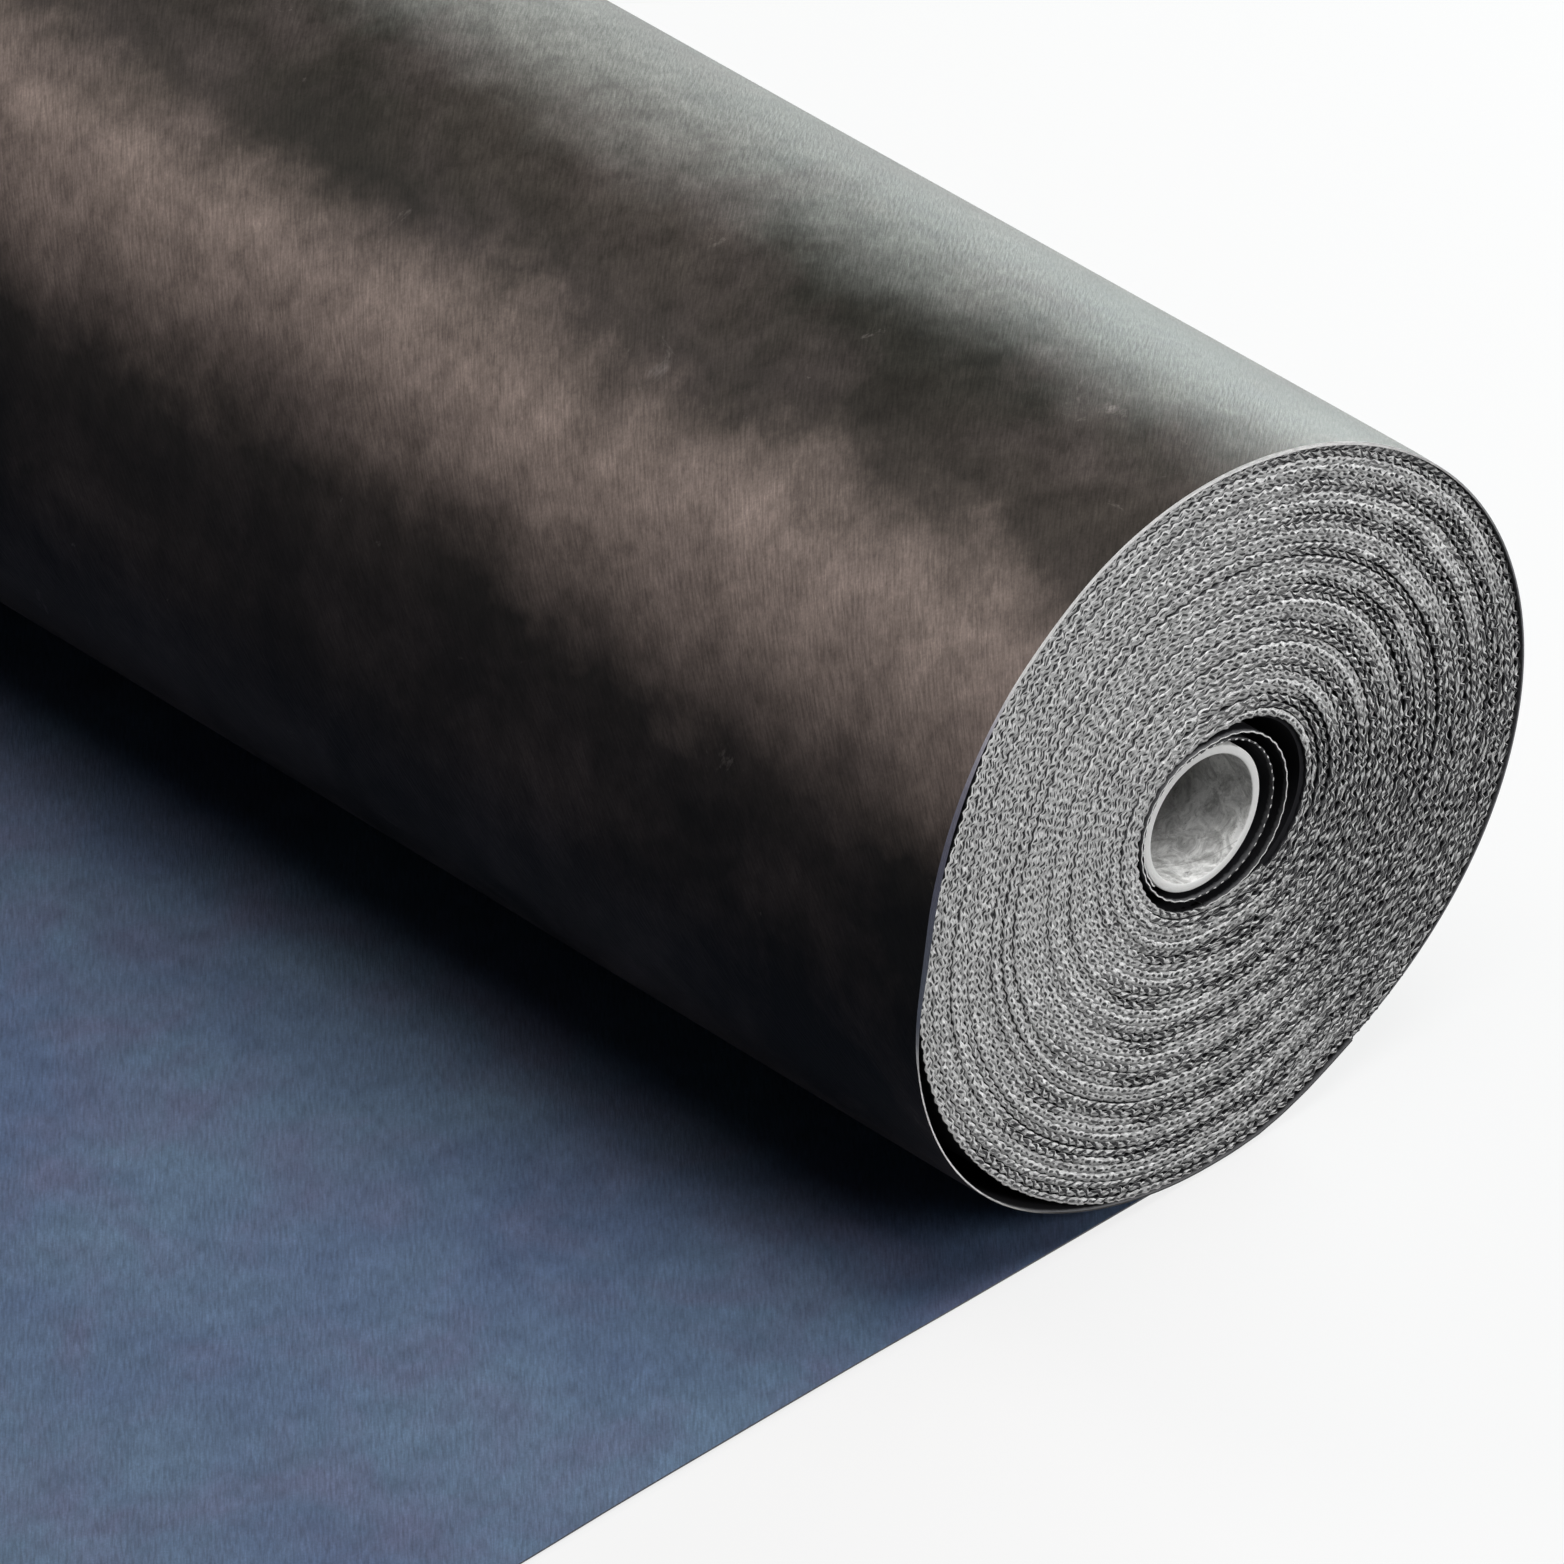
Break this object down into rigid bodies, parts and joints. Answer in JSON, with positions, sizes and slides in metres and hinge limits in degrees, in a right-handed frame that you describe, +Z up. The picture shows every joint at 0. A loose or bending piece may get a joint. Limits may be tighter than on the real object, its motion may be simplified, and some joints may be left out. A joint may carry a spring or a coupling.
{
  "type": "roll of roofing underlayment",
  "caption": "Roll of roofing underlayment membrane on a cardboard core, lying on its side with a length pulled off and laid flat.",
  "frame": {"origin": "centre of the core's bore, halfway along the roll", "axes": "+Y along the roll's axis, away from its front end; the laid length runs towards -X; +Z up"},
  "size_m": [0.948, 1.007, 0.296],
  "materials": {
    "membrane_outer": "charcoal spunbond felt with a faint sheen",
    "membrane_inner": "slate-blue felt with fine ribs",
    "membrane_edge": "pale cut edge of embossed layers",
    "core_board": "grey wound board"
  },
  "bodies": {
    "root": {"underlayment_membrane": "membrane_outer", "core_tube": "core_board"}
  },
  "joints": []
}
